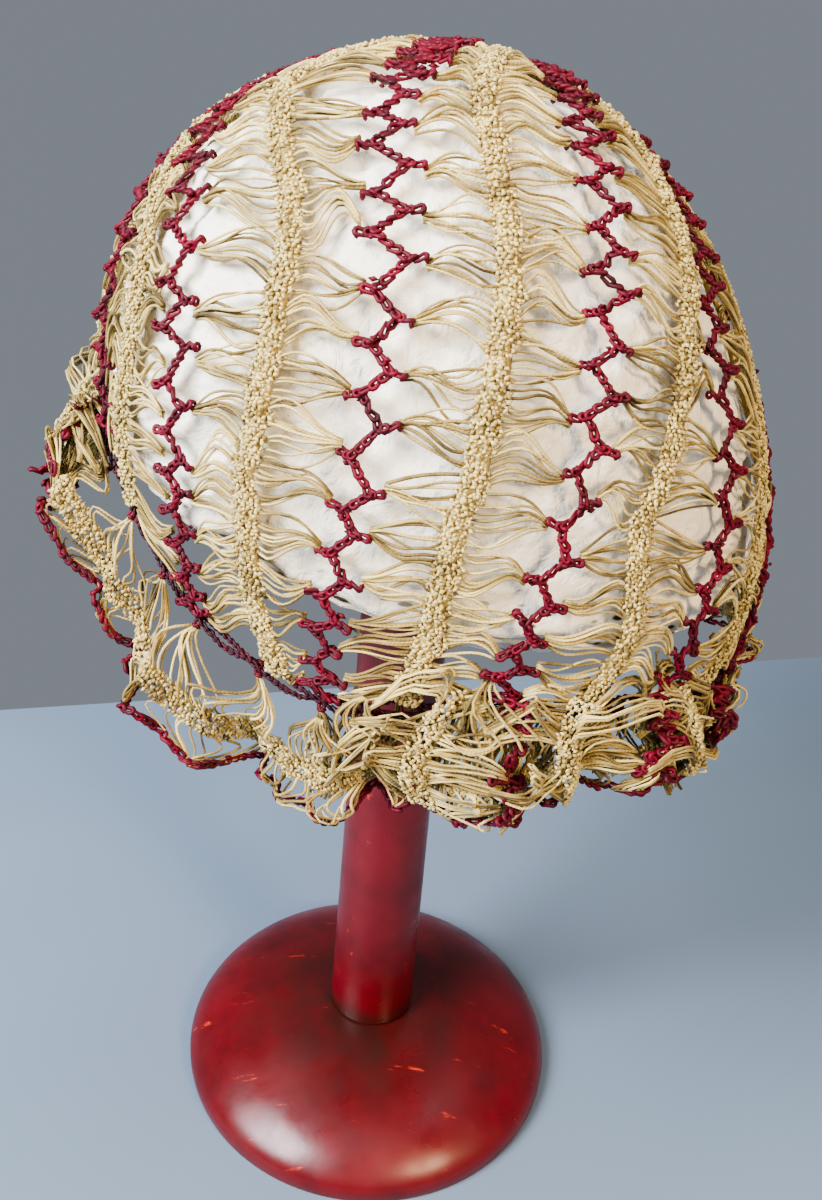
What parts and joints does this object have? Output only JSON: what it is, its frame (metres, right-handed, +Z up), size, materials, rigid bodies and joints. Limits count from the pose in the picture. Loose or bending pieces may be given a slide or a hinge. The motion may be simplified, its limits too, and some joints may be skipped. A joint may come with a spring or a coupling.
{
  "type": "hairpin-lace nightcap on a turned wooden stand with a tissue-padded top",
  "caption": "Rounded openwork nightcap of lace strips joined by zigzag seams, with a ruffled rim, held on a turned stand with a padded top.",
  "frame": {"origin": "middle of the underside of the stand's base, on the surface that it stands on", "axes": "+Z up along the column, -Y towards the front of the cap, +X to the right as the front is looked at"},
  "size_m": [0.213, 0.2196, 0.3631],
  "materials": {
    "ecru_thread": "matte cotton crochet thread",
    "crimson_chain": "matte dyed cotton crochet chain",
    "maroon_cord": "dark crochet chain cord",
    "tissue_paper": "crumpled embossed tissue paper",
    "red_paint": "worn semi-gloss paint on turned wood"
  },
  "bodies": {
    "root": {"stand_base": "red_paint", "stand_column": "red_paint", "tissue_crown": "tissue_paper", "tissue_panel_1": "tissue_paper", "tissue_tuck_1": "tissue_paper", "tissue_panel_2": "tissue_paper", "tissue_tuck_2": "tissue_paper", "tissue_panel_3": "tissue_paper", "tissue_tuck_3": "tissue_paper", "tissue_panel_4": "tissue_paper", "tissue_tuck_4": "tissue_paper", "tissue_panel_5": "tissue_paper", "tissue_tuck_5": "tissue_paper", "tissue_panel_6": "tissue_paper", "tissue_tuck_6": "tissue_paper", "lace_strip_1": "ecru_thread", "joining_seam_1": "crimson_chain", "ruffle_1": "ecru_thread", "lace_strip_2": "ecru_thread", "joining_seam_2": "crimson_chain", "ruffle_2": "ecru_thread", "lace_strip_3": "ecru_thread", "joining_seam_3": "crimson_chain", "ruffle_3": "ecru_thread", "lace_strip_4": "ecru_thread", "joining_seam_4": "crimson_chain", "ruffle_4": "ecru_thread", "lace_strip_5": "ecru_thread", "joining_seam_5": "crimson_chain", "ruffle_5": "ecru_thread", "lace_strip_6": "ecru_thread", "joining_seam_6": "crimson_chain", "ruffle_6": "ecru_thread", "lace_strip_7": "ecru_thread", "joining_seam_7": "crimson_chain", "ruffle_7": "ecru_thread", "lace_strip_8": "ecru_thread", "joining_seam_8": "crimson_chain", "ruffle_8": "ecru_thread", "lace_strip_9": "ecru_thread", "joining_seam_9": "crimson_chain", "ruffle_9": "ecru_thread", "lace_strip_10": "ecru_thread", "joining_seam_10": "crimson_chain", "ruffle_10": "ecru_thread", "lace_strip_11": "ecru_thread", "joining_seam_11": "crimson_chain", "ruffle_11": "ecru_thread", "lace_strip_12": "ecru_thread", "joining_seam_12": "crimson_chain", "ruffle_12": "ecru_thread", "lace_strip_13": "ecru_thread", "joining_seam_13": "crimson_chain", "ruffle_13": "ecru_thread", "crown_gather": "ecru_thread", "drawn_cord": "maroon_cord", "ruffle_edge": "crimson_chain"}
  },
  "joints": []
}
